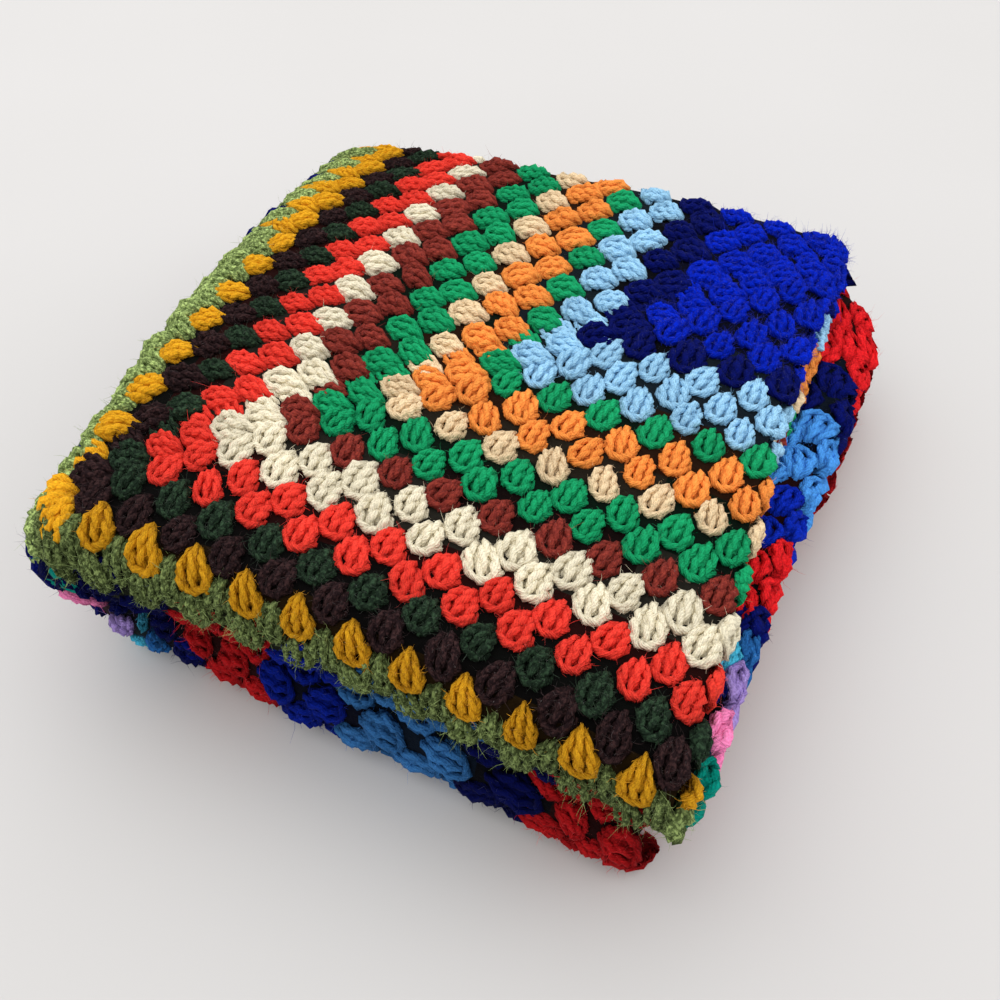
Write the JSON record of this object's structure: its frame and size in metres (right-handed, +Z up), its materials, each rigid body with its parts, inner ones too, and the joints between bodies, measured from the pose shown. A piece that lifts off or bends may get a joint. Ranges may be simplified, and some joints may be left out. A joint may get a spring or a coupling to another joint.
{
  "type": "folded crocheted blanket",
  "caption": "Crocheted granny square blanket folded into a soft stack of layers, with rounded folds at the front and the left and open edges at the right.",
  "frame": {"origin": "middle of the footprint, on the surface the blanket lies on", "axes": "+Z up through the layers, -Y towards the long front folds, -X towards the fold that wraps the whole stack"},
  "size_m": [0.335, 0.3436, 0.0917],
  "materials": {
    "crocheted_wool": "fuzzy crocheted wool yarn in rings of many colours"
  },
  "bodies": {
    "root": {"blanket": "crocheted_wool"}
  },
  "joints": []
}
